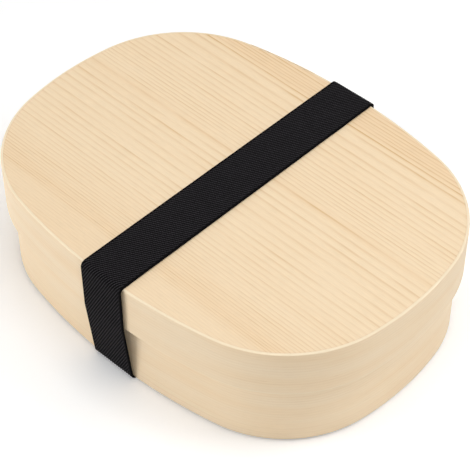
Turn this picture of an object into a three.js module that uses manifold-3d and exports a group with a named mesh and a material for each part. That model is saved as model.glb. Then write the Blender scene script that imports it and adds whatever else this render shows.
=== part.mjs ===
// A bent-wood lunch box: an oval tray, a lid that slips over its rim, a loose divider and an elastic strap.
// The tray's and the lid's walls are thin boards bent into a ring, with their two ends tapered, lapped and
// laced with strips of bark at the back. Flat boards fitted inside the rings close the bottom and the top.
// Millimetres, +X along the box, +Z up. z = 0 is the underside of the strap, which the box stands on.

import * as THREE from 'three';
import { mergeVertices } from 'three/addons/utils/BufferGeometryUtils.js';
import Module from 'manifold-3d';

const wasm = await Module();
wasm.setup();

// The lid's outline from above: side, corner and end arcs that run smoothly into each other
const boxLength = 175;
const boxWidth = 130;
const sideRadius = 232;
const cornerRadius = 49;
const endRadius = 118.5;

// Heights
const woodHeight = 48.4;
const lidBandHeight = 20.3;
const bottomRecess = 2;

// Board thicknesses
const lidWall = 1.8;
const trayWall = 2.4;
const lidPlateThickness = 3;
const bottomPlateThickness = 3;
const edgeEase = 0.5;
const glueGap = 0.1;

// The lap where a bent board's two ends meet, and the bark strips that lace it
const lapLength = 30;
const lapTip = 0.45;
const lapToStrap = 9;
const laceWidth = 4;
const laceThickness = 0.3;
const laceGap = 0.05;
const laceRowInset = 6;
const laceMargin = 3.4;
const laceTail = 2.6;
const laceBridge = 2.4;
const laceSlideGap = 0.2;
const trayStitches = 3;
const lidStitches = 1;

// Divider
const dividerThickness = 2.5;
const dividerPlace = 12;
const dividerSideGap = 0.5;
const dividerTopGap = 1.6;
const dividerFootGap = 0.2;
const dividerTopRadius = 5;
const dividerFootRadius = 1;

// Elastic strap, its lapped ends under the box, and the zigzag seam across the lap
const strapWidth = 18;
const strapThickness = 0.8;
const strapPlace = 1.5;
const strapGap = 0.2;
const strapLap = 26;
const strapLapGap = 0.1;
const strapRamp = 5;
const strapTipGap = 0.5;
const seamThread = 0.5;
const seamHeight = 0.3;
const seamSwing = 5;
const seamPitch = 1.8;
const seamMargin = 2;
const seamGap = 0.05;

// How finely the round shapes are divided, and how far a cutting shape runs past what it cuts
const sideSteps = 8;
const cornerSteps = 18;
const endSteps = 5;
const lapSteps = 6;
const bendSteps = 4;
const overrun = 4;
const weldDistance = 0.0001;

// The lid's inside has room for the bark on its own wall and the bark on the tray's wall
const laceProud = laceGap + laceThickness;
const lidClearance = 2 * laceProud + laceSlideGap;
const trayInset = lidWall + lidClearance;

// Levels
const trayLow = strapThickness + strapGap;
const bottomLow = trayLow + bottomRecess;
const bottomTop = bottomLow + bottomPlateThickness;
const lidTop = trayLow + woodHeight;
const lidLow = lidTop - lidBandHeight;
const trayTop = lidTop - lidPlateThickness;

const strapLeft = strapPlace - strapWidth / 2;
const strapRight = strapPlace + strapWidth / 2;

const lidBoard = new THREE.MeshStandardMaterial({ color: 0xefd5ac, roughness: 0.6, metalness: 0 });
const bentBoard = new THREE.MeshStandardMaterial({ color: 0xe8d0aa, roughness: 0.62, metalness: 0 });
const innerBoard = new THREE.MeshStandardMaterial({ color: 0xead0a2, roughness: 0.65, metalness: 0 });
const bark = new THREE.MeshStandardMaterial({ color: 0x7a3d27, roughness: 0.45, metalness: 0 });
const elastic = new THREE.MeshStandardMaterial({ color: 0x1f1d21, roughness: 0.85, metalness: 0 });
const thread = new THREE.MeshStandardMaterial({ color: 0x161518, roughness: 0.7, metalness: 0 });

// The arcs of the quarter where x and y are positive. The corner arc touches the other two from the
// inside, so its centre is where two circles about their centres cross.
function ovalArcs() {
  const side = new THREE.Vector2(0, boxWidth / 2 - sideRadius);
  const end = new THREE.Vector2(boxLength / 2 - endRadius, 0);
  const sideToCorner = sideRadius - cornerRadius;
  const endToCorner = endRadius - cornerRadius;
  const apart = side.distanceTo(end);
  const along = (sideToCorner ** 2 - endToCorner ** 2 + apart ** 2) / (2 * apart);
  const across = Math.sqrt(sideToCorner ** 2 - along ** 2);
  const direction = end.clone().sub(side).normalize();
  const corner = side.clone().addScaledVector(direction, along);
  corner.x += direction.y * across;
  corner.y -= direction.x * across;
  return {
    side: { centre: side, radius: sideRadius },
    corner: { centre: corner, radius: cornerRadius },
    end: { centre: end, radius: endRadius },
    cornerFrom: corner.clone().sub(end).angle(),
    sideFrom: corner.clone().sub(side).angle(),
  };
}

const arcs = ovalArcs();

// The point of the lid's outline whose outward direction has this angle, moved in by the inset
function ovalPoint(angle, inset) {
  const out = new THREE.Vector2(Math.cos(angle), Math.sin(angle));
  const folded = Math.atan2(Math.abs(out.y), Math.abs(out.x));
  let arc = arcs.corner;
  if (folded < arcs.cornerFrom) arc = arcs.end;
  if (folded > arcs.sideFrom) arc = arcs.side;
  return new THREE.Vector2(
    arc.centre.x * Math.sign(out.x) + (arc.radius - inset) * out.x,
    arc.centre.y * Math.sign(out.y) + (arc.radius - inset) * out.y,
  );
}

function steps(from, to, count) {
  return Array.from({ length: count }, (_, i) => from + ((to - from) * i) / count);
}

// Directions at which every outline is sampled, once round from +X, so that offset outlines stay parallel
function ovalAngles() {
  const quarter = [
    ...steps(0, arcs.cornerFrom, endSteps),
    ...steps(arcs.cornerFrom, arcs.sideFrom, cornerSteps),
    ...steps(arcs.sideFrom, Math.PI / 2, sideSteps),
  ];
  const back = [Math.PI / 2, ...quarter.slice(1).reverse()].map((angle) => Math.PI - angle);
  const half = [...quarter, ...back];
  return [...half, ...half.map((angle) => angle + Math.PI)];
}

const roundAngles = ovalAngles();

function ovalOutline(inset) {
  return roundAngles.map((angle) => ovalPoint(angle, inset));
}

// The outward direction of the back wall at a distance from its middle, measured along the lid towards -X
function backAngle(distance) {
  const sideHalf = (Math.PI / 2 - arcs.sideFrom) * sideRadius;
  if (distance <= sideHalf) return Math.PI / 2 + distance / sideRadius;
  return Math.PI - arcs.sideFrom + (distance - sideHalf) / cornerRadius;
}

const lapStart = backAngle(lapToStrap - strapLeft);
const lapEnd = backAngle(lapToStrap - strapLeft + lapLength);

function extrude(outline, depth) {
  return new THREE.ExtrudeGeometry(new THREE.Shape(outline), { depth, bevelEnabled: false });
}

// An outline drawn in Y and Z, given its depth along +X
function extrudeAlongX(outline, depth) {
  const turn = new THREE.Matrix4().makeBasis(
    new THREE.Vector3(0, 1, 0),
    new THREE.Vector3(0, 0, 1),
    new THREE.Vector3(1, 0, 0),
  );
  return extrude(outline, depth).applyMatrix4(turn);
}

// A closed solid through outlines of equally many points, each at its own height
function loft(levels) {
  const count = levels[0].outline.length;
  const positions = levels.flatMap(({ outline, z }) => outline.flatMap((p) => [p.x, p.y, z]));
  const index = [];
  const top = (levels.length - 1) * count;
  for (const [a, b, c] of THREE.ShapeUtils.triangulateShape(levels[0].outline, [])) {
    index.push(a, c, b, top + a, top + b, top + c);
  }
  for (let start = 0; start < top; start += count) {
    for (let i = 0; i < count; i += 1) {
      const a = start + i;
      const b = start + ((i + 1) % count);
      index.push(a, b, b + count, a, b + count, a + count);
    }
  }
  const geometry = new THREE.BufferGeometry();
  geometry.setAttribute('position', new THREE.Float32BufferAttribute(positions, 3));
  geometry.setIndex(index);
  return geometry;
}

function toSolid(geometry) {
  const bare = new THREE.BufferGeometry();
  bare.setAttribute('position', geometry.getAttribute('position'));
  bare.setIndex(geometry.getIndex());
  const welded = mergeVertices(bare, weldDistance);
  return new wasm.Manifold(new wasm.Mesh({
    numProp: 3,
    vertProperties: welded.getAttribute('position').array,
    triVerts: Uint32Array.from(welded.getIndex().array),
  }));
}

function toGeometry(solid) {
  const mesh = solid.getMesh();
  const geometry = new THREE.BufferGeometry();
  geometry.setAttribute('position', new THREE.BufferAttribute(mesh.vertProperties, 3));
  geometry.setIndex(new THREE.BufferAttribute(mesh.triVerts, 1));
  geometry.computeVertexNormals();
  return geometry;
}

function named(name, geometry, material) {
  const mesh = new THREE.Mesh(geometry, material);
  mesh.name = name;
  return mesh;
}

// The outline of a bent board: once round outside, in along the glue line of the lap, back round inside,
// and out along the other side of the glue line. The line slants from one face of the wall to the other.
function bandOutline(inset, wall) {
  const butt = glueGap / sideRadius;
  const lapAngles = [...steps(lapStart, lapEnd, lapSteps), lapEnd];
  const glueInset = (angle) => {
    const share = (angle - lapStart) / (lapEnd - lapStart);
    return wall - lapTip + (2 * lapTip - wall) * share;
  };
  const turned = (angle) => (angle > lapEnd ? angle : angle + 2 * Math.PI);
  const outside = roundAngles.map(turned).sort((a, b) => a - b);
  const inside = roundAngles.filter((angle) => angle < lapStart - butt).map((angle) => angle + 2 * Math.PI);
  inside.push(...roundAngles.filter((angle) => angle > lapStart));
  inside.sort((a, b) => b - a);
  return [
    ovalPoint(lapEnd + butt, inset),
    ...outside.filter((angle) => angle > lapEnd + butt).map((angle) => ovalPoint(angle, inset)),
    ovalPoint(lapEnd, inset),
    ...lapAngles.toReversed().map((angle) => ovalPoint(angle, inset + glueInset(angle) - glueGap / 2)),
    ovalPoint(lapStart - butt, inset + wall - lapTip - glueGap / 2),
    ovalPoint(lapStart - butt, inset + wall),
    ...inside.map((angle) => ovalPoint(angle, inset + wall)),
    ovalPoint(lapStart, inset + wall),
    ...lapAngles.map((angle) => ovalPoint(angle, inset + glueInset(angle) + glueGap / 2)),
    ovalPoint(lapEnd + butt, inset + lapTip + glueGap / 2),
  ];
}

// What is left of a band when its outer edge is eased: a block that narrows past both ends of the wall
function easedEnvelope(inset, low, high, easeLow, easeHigh) {
  return toSolid(loft([
    { outline: ovalOutline(inset + easeLow + overrun), z: low - overrun },
    { outline: ovalOutline(inset - overrun), z: low + easeLow + overrun },
    { outline: ovalOutline(inset - overrun), z: high - easeHigh - overrun },
    { outline: ovalOutline(inset + easeHigh + overrun), z: high + overrun },
  ]));
}

// Heights of the slits of one lacing row: the two ends of each stitch, with a short bridge between stitches
function slitHeights(low, high, stitches) {
  const stitch = (high - low - 2 * laceMargin - (stitches - 1) * laceBridge) / stitches;
  return Array.from({ length: stitches }, (_, i) => low + laceMargin + (stitch + laceBridge) * i)
    .flatMap((foot) => [foot, foot + stitch]);
}

const trayRow = { inset: trayInset, wall: trayWall, slits: slitHeights(bottomTop, trayTop, trayStitches) };
const lidRow = { inset: 0, wall: lidWall, slits: slitHeights(lidLow, trayTop, lidStitches) };

const outerEndRow = backAngle(lapToStrap - strapLeft + lapLength - laceRowInset);
const innerEndRow = backAngle(lapToStrap - strapLeft + laceRowInset);

// Stands a lacing part on the wall's outer face, with its own +X pointing out of the wall
function placeOnWall(object, angle, inset) {
  const foot = ovalPoint(angle, inset);
  object.position.set(foot.x, foot.y, 0);
  object.rotation.z = angle;
  object.updateMatrix();
  return object;
}

function cutSlits(solid, row) {
  let cut = solid;
  const size = new THREE.Vector3(
    row.wall + 2 * overrun,
    laceWidth + 2 * laceGap,
    laceThickness + 2 * laceGap,
  );
  for (const angle of [outerEndRow, innerEndRow]) {
    const frame = placeOnWall(new THREE.Object3D(), angle, row.inset);
    for (const height of row.slits) {
      const slit = new THREE.BoxGeometry(size.x, size.y, size.z);
      slit.translate(-row.wall / 2, 0, height);
      slit.applyMatrix4(frame.matrix);
      cut = cut.subtract(toSolid(slit));
    }
  }
  return cut;
}

// The outline of a strip of even width along a bent line, with mitred corners and square ends
function ribbonOutline(line, width) {
  const offsetPoint = (i, reach) => {
    const before = line[Math.max(i - 1, 0)];
    const after = line[Math.min(i + 1, line.length - 1)];
    const into = line[i].clone().sub(before).normalize();
    const from = after.clone().sub(line[i]).normalize();
    if (i === 0) into.copy(from);
    if (i === line.length - 1) from.copy(into);
    const across = new THREE.Vector2(-into.y - from.y, into.x + from.x).normalize();
    const square = across.x * -into.y + across.y * into.x;
    return line[i].clone().addScaledVector(across, reach / square);
  };
  const right = line.map((_, i) => offsetPoint(i, -width / 2));
  const left = line.map((_, i) => offsetPoint(i, width / 2));
  return [...right, ...left.reverse()];
}

// A bark strip in running stitch, long stitches outside and short ones inside, where both its tails lie
function laceRow(name, row, angle) {
  const outside = laceGap + laceThickness / 2;
  const inside = -row.wall - outside;
  const tailLow = row.slits[0] - laceTail;
  const tailHigh = row.slits[row.slits.length - 1] + laceTail;
  const line = [new THREE.Vector2(inside, tailLow)];
  row.slits.forEach((height, i) => {
    const stitch = [new THREE.Vector2(inside, height), new THREE.Vector2(outside, height)];
    line.push(...(i % 2 === 0 ? stitch : stitch.reverse()));
  });
  line.push(new THREE.Vector2(inside, tailHigh));
  const geometry = extrude(ribbonOutline(line, laceThickness), laceWidth);
  geometry.rotateX(Math.PI / 2);
  geometry.translate(0, laceWidth / 2, 0);
  return placeOnWall(named(name, geometry, bark), angle, row.inset);
}

function band(name, row, low, high, easeLow, easeHigh) {
  const ring = extrude(bandOutline(row.inset, row.wall), high - low).translate(0, 0, low);
  const eased = toSolid(ring).intersect(easedEnvelope(row.inset, low, high, easeLow, easeHigh));
  return named(name, toGeometry(cutSlits(eased, row)), bentBoard);
}

function plate(name, inset, low, thickness, material) {
  return named(name, extrude(ovalOutline(inset + glueGap), thickness).translate(0, 0, low), material);
}

// A flat board across the tray, as long as the wall is apart where the board slides
function divider() {
  const half = boxWidth / 2 - trayInset - trayWall - dividerSideGap;
  const foot = bottomTop + dividerFootGap;
  const top = trayTop - dividerTopGap;
  const outline = new THREE.Shape();
  outline.absarc(half - dividerFootRadius, foot + dividerFootRadius, dividerFootRadius, -Math.PI / 2, 0);
  outline.absarc(half - dividerTopRadius, top - dividerTopRadius, dividerTopRadius, 0, Math.PI / 2);
  outline.absarc(dividerTopRadius - half, top - dividerTopRadius, dividerTopRadius, Math.PI / 2, Math.PI);
  outline.absarc(dividerFootRadius - half, foot + dividerFootRadius, dividerFootRadius, Math.PI, 1.5 * Math.PI);
  const board = extrudeAlongX(outline.getPoints(bendSteps), dividerThickness);
  const mesh = named('divider', board, innerBoard);
  mesh.position.x = dividerPlace - dividerThickness / 2;
  return mesh;
}

// The taut strap's course round the box, in Y and Z from the near bottom corner of the +Y side: the strap
// runs down the lid's wall and slants in from the lid's lower edge to the tray's. It bends about each corner.
function wrapOutline(offset) {
  const nearest = Math.min(Math.max(0, strapLeft), strapRight);
  const lidHalf = boxWidth / 2 - sideRadius + Math.sqrt(sideRadius ** 2 - nearest ** 2);
  const trayHalf = lidHalf - trayInset;
  const corners = [
    new THREE.Vector2(trayHalf, trayLow),
    new THREE.Vector2(lidHalf, lidLow),
    new THREE.Vector2(lidHalf, lidTop),
    new THREE.Vector2(-lidHalf, lidTop),
    new THREE.Vector2(-lidHalf, lidLow),
    new THREE.Vector2(-trayHalf, trayLow),
  ];
  return corners.flatMap((corner, i) => {
    const before = corners[(i + corners.length - 1) % corners.length];
    const after = corners[(i + 1) % corners.length];
    const from = corner.clone().sub(before).angle() - Math.PI / 2;
    const bend = (after.clone().sub(corner).angle() - Math.PI / 2 - from + 2 * Math.PI) % (2 * Math.PI);
    return [...steps(from, from + bend, bendSteps), from + bend].map((angle) => new THREE.Vector2(
      corner.x + offset * Math.cos(angle),
      corner.y + offset * Math.sin(angle),
    ));
  });
}

// The strap is one length of webbing. Its two ends lie over each other in the hollow under the tray.
function strap() {
  const lapHalf = strapLap / 2;
  const upperLow = strapThickness + strapLapGap;
  const upperTop = upperLow + strapThickness;
  const outline = [
    new THREE.Vector2(-lapHalf, 0),
    ...wrapOutline(strapGap + strapThickness),
    new THREE.Vector2(-lapHalf - strapRamp, 0),
    new THREE.Vector2(-lapHalf - strapTipGap, upperLow),
    new THREE.Vector2(lapHalf, upperLow),
    new THREE.Vector2(lapHalf, upperTop),
    new THREE.Vector2(-lapHalf - strapTipGap, upperTop),
    new THREE.Vector2(-lapHalf - strapRamp, strapThickness),
    ...wrapOutline(strapGap).reverse(),
    new THREE.Vector2(-lapHalf, strapThickness),
  ];
  const mesh = named('strap', extrudeAlongX(outline, strapWidth), elastic);
  mesh.position.x = strapLeft;
  return mesh;
}

// One zigzag row of thread across the lapped ends, lying on the upper one
function strapSeam() {
  const from = strapLeft + seamMargin;
  const turns = Math.round((strapWidth - 2 * seamMargin) / seamPitch);
  const line = Array.from({ length: turns + 1 }, (_, i) => new THREE.Vector2(
    from + ((strapWidth - 2 * seamMargin) * i) / turns,
    (i % 2 === 0 ? -seamSwing : seamSwing) / 2,
  ));
  const low = 2 * strapThickness + strapLapGap + seamGap;
  return named('strap_seam', extrude(ribbonOutline(line, seamThread), seamHeight).translate(0, 0, low), thread);
}

const tray = new THREE.Group();
tray.add(
  band('tray_band', trayRow, trayLow, trayTop, edgeEase, edgeEase),
  plate('tray_bottom', trayInset + trayWall, bottomLow, bottomPlateThickness, innerBoard),
  laceRow('tray_lace_outer_end', trayRow, outerEndRow),
  laceRow('tray_lace_inner_end', trayRow, innerEndRow),
);

const lid = new THREE.Group();
lid.add(
  band('lid_band', lidRow, lidLow, lidTop, edgeEase, edgeEase),
  plate('lid_plate', lidWall, trayTop, lidPlateThickness, lidBoard),
  laceRow('lid_lace_outer_end', lidRow, outerEndRow),
  laceRow('lid_lace_inner_end', lidRow, innerEndRow),
);

const lunchBox = new THREE.Group();
lunchBox.add(tray, lid, divider(), strap(), strapSeam());

export default lunchBox;
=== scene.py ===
# The looks of an oval bent-wood lunch box with a slip-over lid, bark lacing and a black elastic strap.
# Metres, +X along the box, +Y to the laced back, standing on z = 0.
import math

import bmesh
import bpy
from mathutils import Matrix, Vector


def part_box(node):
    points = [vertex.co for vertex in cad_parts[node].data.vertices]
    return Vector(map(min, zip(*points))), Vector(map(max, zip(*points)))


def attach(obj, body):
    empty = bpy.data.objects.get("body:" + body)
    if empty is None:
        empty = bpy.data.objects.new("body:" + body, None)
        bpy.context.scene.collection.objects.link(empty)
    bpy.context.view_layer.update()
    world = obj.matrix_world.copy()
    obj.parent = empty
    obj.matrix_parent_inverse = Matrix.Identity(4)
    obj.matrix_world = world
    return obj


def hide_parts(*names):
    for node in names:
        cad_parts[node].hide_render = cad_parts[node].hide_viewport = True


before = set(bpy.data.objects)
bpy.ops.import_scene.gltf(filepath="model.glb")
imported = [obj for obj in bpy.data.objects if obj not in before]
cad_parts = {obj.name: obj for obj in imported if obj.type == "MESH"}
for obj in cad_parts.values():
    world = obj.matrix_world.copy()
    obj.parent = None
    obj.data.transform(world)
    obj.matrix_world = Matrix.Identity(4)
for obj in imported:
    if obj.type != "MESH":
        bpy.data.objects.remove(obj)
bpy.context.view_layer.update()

mm = 0.001

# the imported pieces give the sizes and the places
lidBandLow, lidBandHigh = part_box("lid_band")
lidPlateLow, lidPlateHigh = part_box("lid_plate")
trayBandLow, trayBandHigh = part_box("tray_band")
trayPlateLow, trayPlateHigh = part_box("tray_bottom")
dividerLow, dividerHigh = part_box("divider")
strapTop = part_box("strap")[1].z

# the arcs of the oval, which a box can't tell
oval = {
    "sideRadius": 232 * mm,
    "cornerRadius": 49 * mm,
    "endRadius": 118.5 * mm,
    "stepLength": 1.4 * mm,
}


def linear(hexColour):
    channels = [int(hexColour[i:i + 2], 16) / 255 for i in (1, 3, 5)]
    straight = [c / 12.92 if c <= 0.04045 else ((c + 0.055) / 1.055) ** 2.4 for c in channels]
    return (*straight, 1)


# Inputs are a dictionary, or a list of the first ones in their order. Each is a value, a socket, or a node
# whose first output is meant.
def setInputs(node, inputs):
    for key, value in inputs.items() if isinstance(inputs, dict) else enumerate(inputs):
        if isinstance(value, bpy.types.Node):
            value = value.outputs[0]
        if isinstance(value, bpy.types.NodeSocket):
            node.id_data.links.new(value, node.inputs[key])
        else:
            node.inputs[key].default_value = value


# the function that adds a node to this tree; stops are the places and values of a colour ramp or a curve
def nodeAdder(tree):
    def add(kind, settings=None, inputs=None, stops=None):
        node = tree.nodes.new(kind)
        for name, value in (settings or {}).items():
            setattr(node, name, value)
        setInputs(node, inputs or {})
        if stops and hasattr(node, "color_ramp"):
            elements = node.color_ramp.elements
            while len(elements) < len(stops):
                elements.new(1)
            for element, (place, colour) in zip(elements, stops):
                element.position = place
                element.color = linear(colour) if isinstance(colour, str) else (colour, colour, colour, 1)
        elif stops:
            points = node.mapping.curves[0].points
            while len(points) < len(stops):
                points.new(0.5, 0.5)
            for point, (place, value) in zip(points, stops):
                point.location = (place, value)
                point.handle_type = "AUTO_CLAMPED"
            node.mapping.update()
        return node

    return add


# settings that many nodes share
times = {"operation": "MULTIPLY"}
timesPlus = {"operation": "MULTIPLY_ADD"}
clampedTimes = {"operation": "MULTIPLY", "use_clamp": True}
plus = {"operation": "ADD"}
minus = {"operation": "SUBTRACT"}
over = {"operation": "DIVIDE"}
larger = {"operation": "MAXIMUM"}
smaller = {"operation": "MINIMUM"}
below = {"operation": "LESS_THAN"}
above = {"operation": "GREATER_THAN"}
unsigned = {"operation": "ABSOLUTE"}
colours = {"data_type": "RGBA"}


# the inputs of a map range
def ranges(source, target):
    return {"From Min": source[0], "From Max": source[1], "To Min": target[0], "To Max": target[1]}


# the centres of the oval's side, corner and end arcs where x and y are positive
def arcCentres():
    side = Vector((0, lidBandHigh.y - oval["sideRadius"]))
    end = Vector((lidBandHigh.x - oval["endRadius"], 0))
    sideToCorner = oval["sideRadius"] - oval["cornerRadius"]
    endToCorner = oval["endRadius"] - oval["cornerRadius"]
    between = end - side
    along = (sideToCorner ** 2 - endToCorner ** 2 + between.length_squared) / (2 * between.length)
    across = math.sqrt(sideToCorner ** 2 - along ** 2)
    way = between.normalized()
    return side, side + way * along + Vector((way.y, -way.x)) * across, end


sideCentre, cornerCentre, endCentre = arcCentres()
sideTurn = math.atan2(cornerCentre.y - sideCentre.y, cornerCentre.x - sideCentre.x)
endTurn = math.atan2(cornerCentre.y - endCentre.y, cornerCentre.x - endCentre.x)
quarterArcs = [
    (0, endTurn, endCentre, oval["endRadius"]),
    (endTurn, sideTurn, cornerCentre, oval["cornerRadius"]),
    (sideTurn, math.pi / 2, sideCentre, oval["sideRadius"]),
]


# a point of the oval where its outward direction has this angle, moved in by an even distance
def ovalPoint(angle, inset):
    cosine, sine = math.cos(angle), math.sin(angle)
    turn = math.atan2(abs(sine), abs(cosine))
    arc = next((a for a in quarterArcs if turn < a[1]), quarterArcs[-1])
    x = arc[2].x + (arc[3] - inset) * abs(cosine)
    y = arc[2].y + (arc[3] - inset) * abs(sine)
    return Vector((math.copysign(x, cosine), math.copysign(y, sine)))


# how far round the outside of the oval a point lies, from the middle of the +X end
def ovalLength(angle):
    quarter = sum((high - low) * radius for low, high, _, radius in quarterArcs)
    turns, rest = divmod(angle, math.pi / 2)
    turn = rest if turns % 2 == 0 else math.pi / 2 - rest
    part = sum(max(0, min(turn, high) - low) * radius for low, high, _, radius in quarterArcs)
    return turns * quarter + (part if turns % 2 == 0 else quarter - part)


def ovalAngles():
    quarter = []
    for low, high, _, radius in quarterArcs:
        count = math.ceil((high - low) * radius / oval["stepLength"])
        quarter += [low + (high - low) * i / count for i in range(count)]
    mirrored = [math.pi - angle for angle in quarter if angle > 0] + [math.pi / 2]
    half = sorted(quarter + mirrored)
    return half + [angle + math.pi for angle in half]


roundAngles = ovalAngles()


# edges sharper than this stay hard, and points closer together than this are one
shading = {"sharpDegrees": 50, "mergeDistance": 0.0001 * mm}


def smooth(mesh):
    for polygon in mesh.polygons:
        polygon.use_smooth = True


def addObject(name, data):
    piece = bpy.data.objects.new(name, data)
    bpy.context.scene.collection.objects.link(piece)
    return piece


# joins doubled points, turns the faces outward and makes a smooth piece with sharp edges
def finishForm(name, form, material):
    bmesh.ops.remove_doubles(form, verts=form.verts, dist=shading["mergeDistance"])
    bmesh.ops.recalc_face_normals(form, faces=form.faces)
    mesh = bpy.data.meshes.new(name)
    form.to_mesh(mesh)
    form.free()
    smooth(mesh)
    mesh.set_sharp_from_angle(angle=math.radians(shading["sharpDegrees"]))
    mesh.materials.append(material)
    return addObject(name, mesh)


def place(piece, body, slot, *nodes):
    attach(piece, body)
    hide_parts(*nodes)


# MATERIALS

# most of a noise's values lie between these
noiseSpan = (0.3, 0.7)


def newMaterial(name):
    material = bpy.data.materials.new(name)
    material.use_nodes = True
    return material, nodeAdder(material.node_tree), material.node_tree.nodes["Principled BSDF"]


# a noise drawn out along the grain: its waves per mm along, across and through, and its detail
def streaks(add, place, waves):
    perMm, detail = waves
    drawnOut = add("ShaderNodeVectorMath", times, [place, perMm])
    return add("ShaderNodeTexNoise", {}, {"Vector": drawnOut, "Scale": 1, "Detail": detail}).outputs["Fac"]


# the colour, the bump, and a roughness that changes with the fibres
def setSurface(add, shader, look, colour, height, fibre):
    bump = add("ShaderNodeBump", {}, {
        "Strength": look["bumpStrength"], "Distance": look["bumpHeight"], "Height": height})
    roughness = add("ShaderNodeMapRange", {}, {"Value": fibre, **ranges((0, 1), look["roughness"])})
    setInputs(shader, {
        "Base Color": colour, "Normal": bump, "Roughness": roughness, "IOR": look["ior"],
        "Specular IOR Level": look["specular"]})


# Spruce, quarter-sawn, planed and fine-sanded: pale early wood between narrow orange-brown late wood lines.
# The lines run the length of the board. They lie 1 to 5 mm apart, as fast as the tree grew in those years.
boardLook = {
    "early": "#f8e1bf",
    "warm": "#f1d2aa",
    "late": "#dcb580",
    "fleck": "#c99a66",
    # glue has crept a little way into the board along its edge
    "edge": "#c08a5c",
    "edgeShare": 0.12,
    "halfWidth": 70,
    # how many growth lines there are up to each place across the board, in mm from its middle
    "linesUpTo": [
        (-70, 0), (-50, 17), (-46, 21), (-32, 31), (-26, 34), (-13, 39), (-3, 42), (6.5, 45), (10.4, 46),
        (13, 47), (19.5, 51), (27, 55), (34.6, 58), (40.2, 60), (44.3, 61), (48.7, 62), (53.4, 64),
        (57.7, 67), (64, 71), (70, 75)],
    "lineShift": -0.12,
    # how strong the lines are, and how warm the wood between them
    "contrast": [
        (-70, 0.15), (-52, 0.3), (-49, 0.7), (-45, 0.72), (-41, 0.6), (-28, 0.45), (-10, 0.48), (7, 0.55),
        (10.4, 0.7), (14, 0.6), (24, 0.65), (30, 0.52), (46, 0.68), (52, 1.0), (70, 1.0)],
    "warmth": [
        (-70, 0.25), (-52, 0.25), (-48, 0.42), (-43, 0.2), (0, 0.05), (7, 0.05), (10.4, 0.35), (13, 0.1),
        (48, 0.12), (54, 0.58), (70, 0.7)],
    "cloudWarmth": 0.6,
    "cloudLoss": 0.2,
    "slopeDegrees": 1.2,
    # how many mm the lines wander over the whole board and ripple over a few centimetres, and how they lean
    "waviness": 0.5,
    "ripple": 0.17,
    "lean": 0.3,
    # a ring darkens slowly through its late wood and ends sharply
    "ring": [(0.0, 0.3), (0.1, 0.0), (0.45, 0.04), (0.7, 0.3), (0.84, 0.9), (0.93, 1.0), (1.0, 0.3)],
    "ringPower": (0.6, 1.05),
    "fadeSpan": noiseSpan,
    "fadePower": (0.3, 1.45),
    "fibreTone": (0.95, 1.04),
    "fleckSpan": (0.7, 0.85),
    "fleckShare": 0.35,
    "slowWaves": ((0.007, 0.03, 0.03), 1),
    "rippleWaves": ((0.06, 0.35, 0.35), 2),
    "fadeWaves": ((0.04, 1.7, 1), 2),
    "cloudWaves": ((0.012, 0.09, 0.09), 2),
    # fibres 0.1 mm wide and a few millimetres long, drawn 0.25 mm wide to show
    "fibreWaves": ((0.2, 4, 4), 3),
    # short dark resin flecks
    "fleckWaves": ((0.16, 2.6, 2.6), 1),
    # late wood is harder, so sanding leaves it a hair proud and smoother
    "lateRise": 0.6,
    "bumpStrength": 0.35,
    "bumpHeight": 0.03 * mm,
    "roughness": (0.62, 0.5),
    "ior": 1.5,
    "specular": 0.35,
}

# Spruce veneer, sawn thin, steamed and bent, then fine-sanded: paler than the boards, with faint close lines
# that follow the strip round the box
bandLook = {
    "early": "#f6e0bf",
    "warm": "#f2d3a8",
    "late": "#dfbd90",
    "fleck": "#cfa877",
    # the rounded rim is paler, partly because it is sanded across the grain and partly as a painted
    # highlight; the same colour paints a highlight along the lid's lower edge
    "edge": "#f9ebcf",
    "edgeShare": 0.5,
    "lineSpacing": 1.35,
    "wander": 1.2,
    "contrast": 0.3,
    "cloudSpan": (0.35, 0.75),
    "cloudWarmth": 0.55,
    "ring": [(0.0, 0.25), (0.15, 0.0), (0.5, 0.1), (0.85, 1.0), (1.0, 0.25)],
    "ringPower": (0.1, 1),
    "fadeSpan": (0, 1),
    "fadePower": (0, 1),
    "fibreTone": (0.975, 1.02),
    "fleckSpan": (0.7, 0.8),
    "fleckShare": 0.35,
    "slowWaves": ((0.006, 0.05, 1), 2),
    "fadeWaves": ((0.02, 1.7, 1), 1),
    "cloudWaves": ((0.02, 0.16, 1), 2),
    "fibreWaves": ((0.15, 4, 1), 3),
    "fleckWaves": ((0.12, 2.2, 1), 1),
    "lateRise": 0,
    "bumpStrength": 0.3,
    "bumpHeight": 0.03 * mm,
    "roughness": (0.6, 0.48),
    "ior": 1.5,
    "specular": 0.5,
}
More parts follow.
